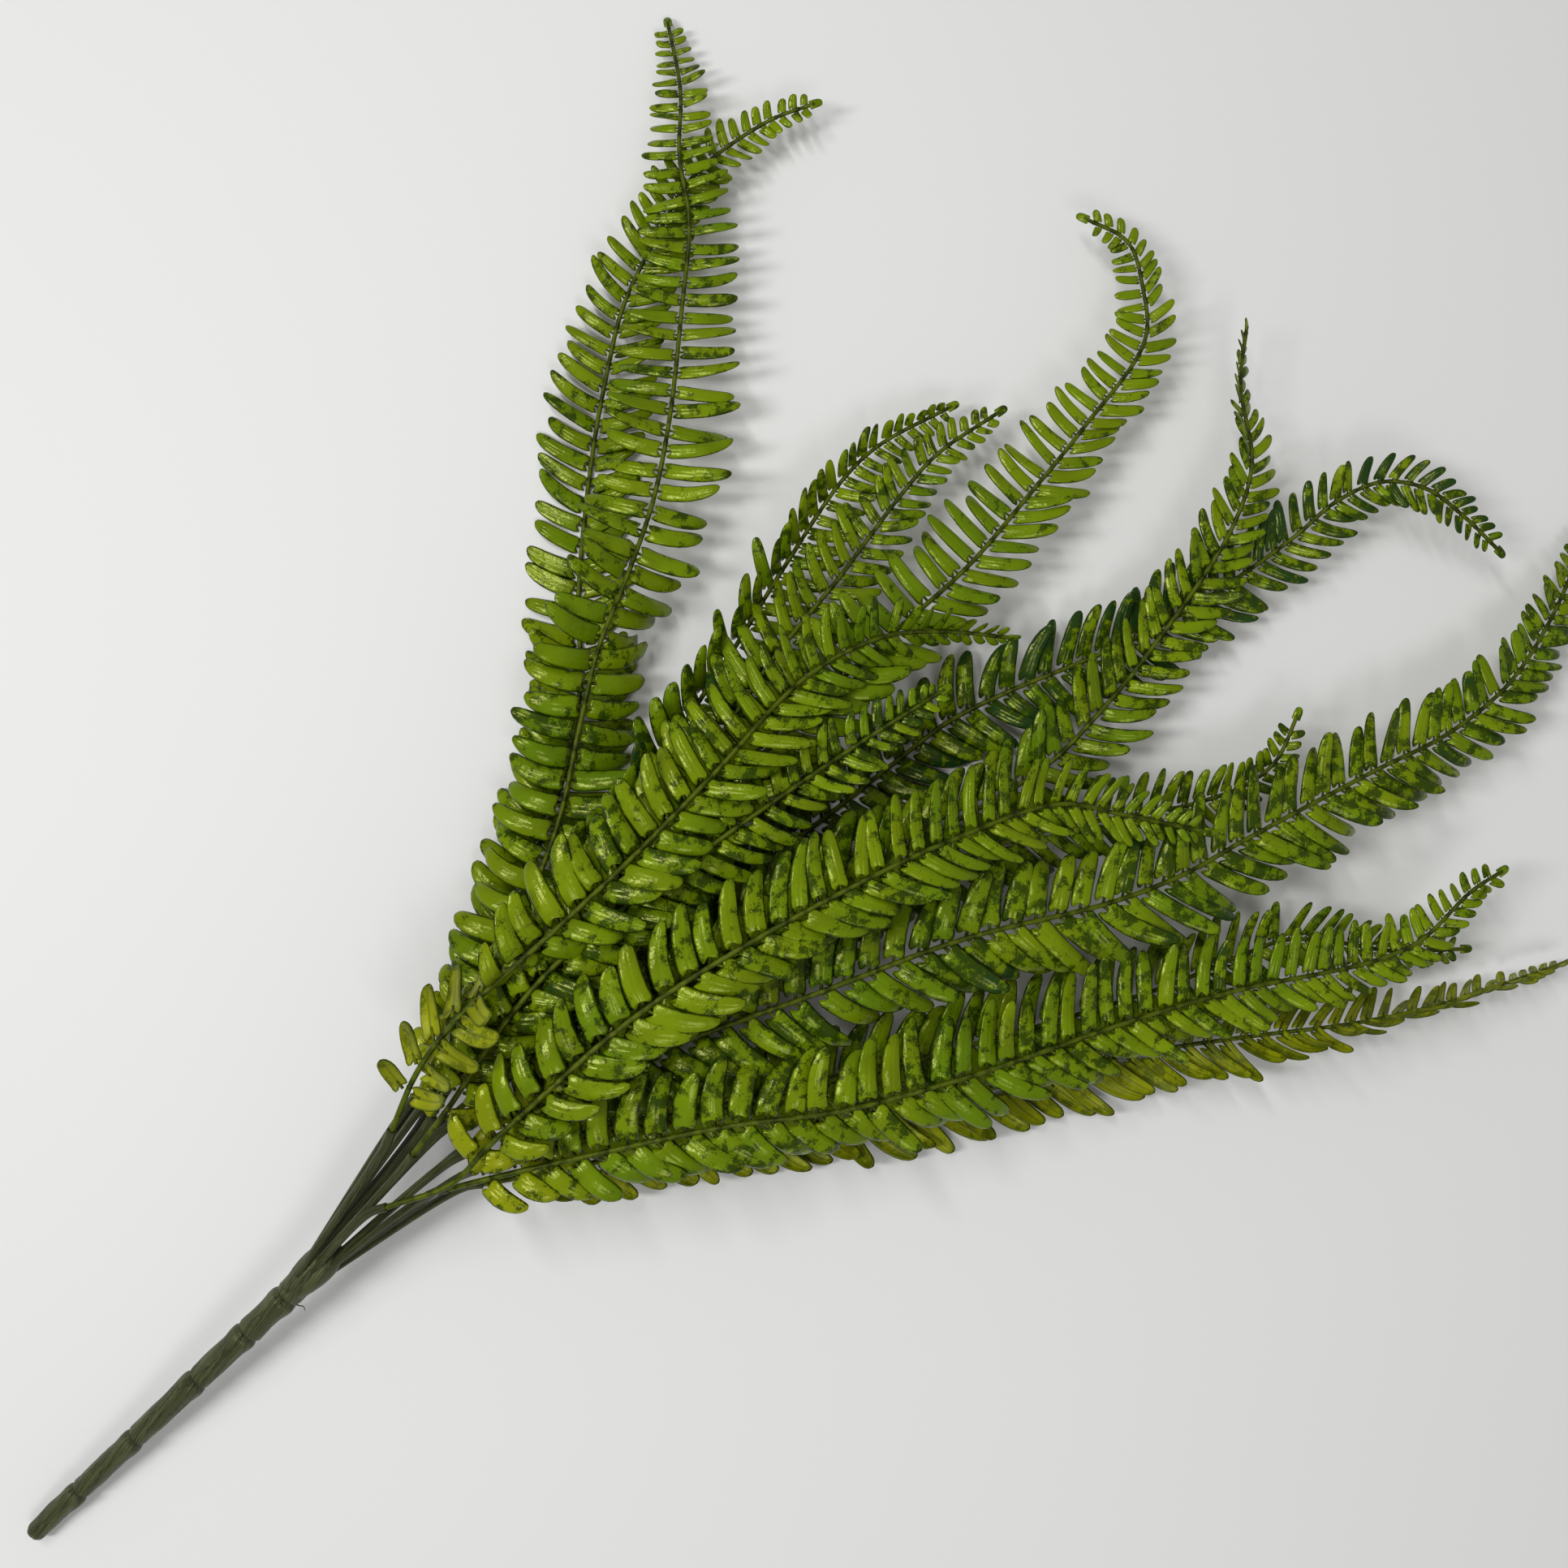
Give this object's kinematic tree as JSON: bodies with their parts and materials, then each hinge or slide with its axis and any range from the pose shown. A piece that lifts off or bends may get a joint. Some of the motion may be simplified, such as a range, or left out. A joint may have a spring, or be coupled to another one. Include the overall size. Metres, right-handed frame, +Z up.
{
  "type": "artificial fern frond spray",
  "caption": "Moulded artificial fern spray lying on its side: a ringed stem fans into socketed branches, each holding a long arching frond with rows of narrow leaflets.",
  "frame": {"origin": "on the surface that the spray lies on, under the middle of its bounding box", "axes": "+X along the stem from its plain end towards the fronds, +Y to the left of the stem, +Z up from the surface"},
  "size_m": [0.7844, 0.5586, 0.0711],
  "materials": {
    "stem_green": "matte dark olive moulded plastic with lengthwise fibre-like grooves",
    "frond_green": "soft gloss yellow-green moulded plastic, shaded with darker green along the edges and tips"
  },
  "bodies": {
    "root": {"main_stem": "stem_green", "frond_top": "frond_green", "frond_long_left": "frond_green", "frond_inner_left": "frond_green", "frond_front": "frond_green", "frond_curled_tip": "frond_green", "frond_middle_left": "frond_green", "frond_tilted_left": "frond_green", "frond_far_left": "frond_green", "frond_low_left": "frond_green", "frond_long_right": "frond_green", "frond_middle_right": "frond_green", "frond_upturned": "frond_green", "frond_low_curl": "frond_green", "frond_inner_right": "frond_green", "frond_low_right": "frond_green"}
  },
  "joints": []
}
